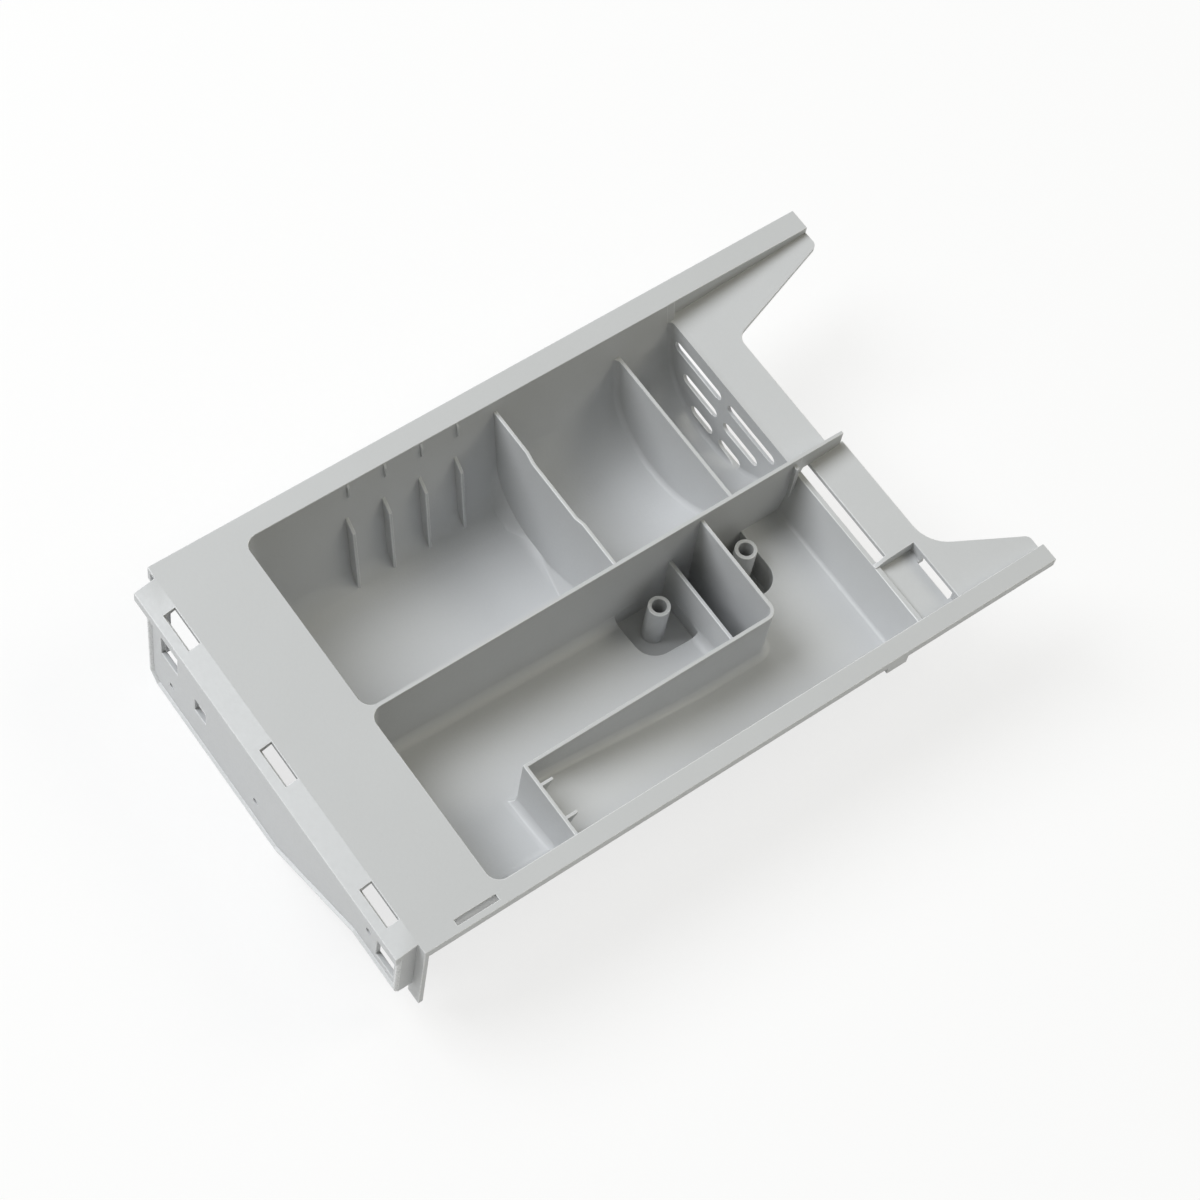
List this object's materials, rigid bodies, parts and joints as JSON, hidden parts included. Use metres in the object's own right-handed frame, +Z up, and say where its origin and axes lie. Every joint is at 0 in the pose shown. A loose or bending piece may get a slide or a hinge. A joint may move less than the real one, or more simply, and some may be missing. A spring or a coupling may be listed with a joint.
{
  "type": "detergent dispenser drawer",
  "caption": "Open moulded drawer tray for a washing machine's detergent dispenser, with a round-bottomed trough, louvred rear wall, L-shaped side channel and siphon posts.",
  "frame": {"origin": "centre of the bounding box in plan, at the lowest point", "axes": "+Y to the rear of the machine, along the drawer's travel inwards; +Z up, out of the bays; +X to the right seen from the front"},
  "size_m": [0.17, 0.291, 0.0588],
  "materials": {
    "tray_plastic": "light grey moulded polypropylene, fine satin"
  },
  "bodies": {
    "root": {"drawer_tray": "tray_plastic"}
  },
  "joints": []
}
